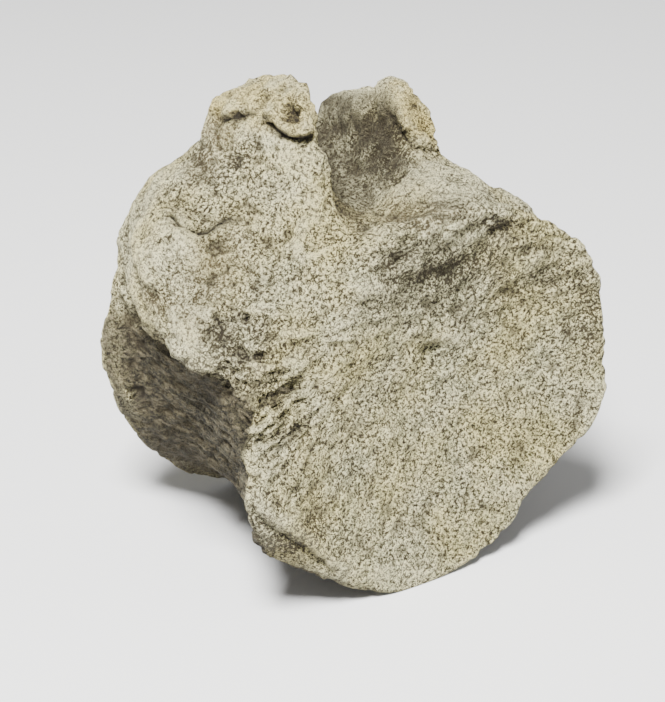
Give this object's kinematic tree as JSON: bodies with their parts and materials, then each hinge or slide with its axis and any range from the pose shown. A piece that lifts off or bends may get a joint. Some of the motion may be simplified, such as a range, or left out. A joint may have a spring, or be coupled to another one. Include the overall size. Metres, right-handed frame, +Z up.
{
  "type": "fossil plesiosaur vertebra",
  "caption": "Stone-like fossil vertebra of a plesiosaur: a waisted drum with dished ends, a groove on top between broken arch stumps and a worn rib facet.",
  "frame": {"origin": "the middle of the bounding box's base, on the level that the bone rests on", "axes": "+Z up from the resting level to the broken arch stumps, +Y along the centrum from the seen end to the far end, +X across to the right side of the seen end"},
  "size_m": [0.085, 0.054, 0.0931],
  "materials": {
    "fossil_bone": "dull, grainy fossil bone, tan grey on the ends, fibrous and brown in the waist, yellowish on the broken stumps"
  },
  "bodies": {
    "root": {"vertebra": "fossil_bone"}
  },
  "joints": []
}
